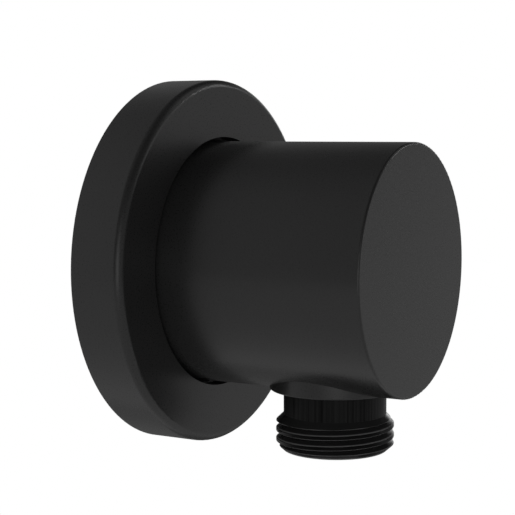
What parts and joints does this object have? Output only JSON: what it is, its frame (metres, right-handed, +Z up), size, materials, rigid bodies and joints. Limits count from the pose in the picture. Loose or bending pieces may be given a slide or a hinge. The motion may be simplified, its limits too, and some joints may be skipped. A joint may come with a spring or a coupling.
{
  "type": "wall outlet elbow",
  "caption": "Matte black wall outlet elbow for a shower hose: a plain cylinder in a sliding round wall flange, with a threaded nipple below that holds a check valve.",
  "frame": {"origin": "where the body's axis meets the wall face", "axes": "+Y into the wall along the inlet thread, -Y into the room, +Z up, outlet pointing along -Z"},
  "size_m": [0.0662, 0.059, 0.0662],
  "materials": {
    "black_coat": "matte",
    "black_gloss": "gloss",
    "brass": "satin",
    "steel": "satin",
    "seal_rubber": "matte",
    "gasket_foam": "matte",
    "valve_plastic": "satin",
    "poppet_plastic": "satin"
  },
  "bodies": {
    "elbow": {"elbow_body": "black_coat", "outlet_nipple": "black_gloss", "inlet_nipple": "brass", "grub_screw": "steel", "valve_spring": "steel", "inlet_o_ring_back": "seal_rubber", "inlet_o_ring_front": "seal_rubber", "outlet_washer": "seal_rubber", "valve_o_ring": "seal_rubber", "valve_seat": "valve_plastic", "valve_cage": "valve_plastic"},
    "flange": {"wall_flange": "black_coat", "flange_o_ring": "seal_rubber", "wall_gasket": "gasket_foam"},
    "poppet": {"valve_poppet": "poppet_plastic", "valve_poppet_seal": "seal_rubber"}
  },
  "joints": [
    {"name": "flange_slide", "type": "slide", "parent": "elbow", "child": "flange", "axis": [0, -1, 0], "range_m": [0, 0.0115]},
    {"name": "valve_lift", "type": "slide", "parent": "elbow", "child": "poppet", "axis": [0, 0, -1], "range_m": [0, 0.0024], "stiffness_N_per_m": 60, "springref_m": -0.006, "deforming": ["valve_spring"]}
  ]
}
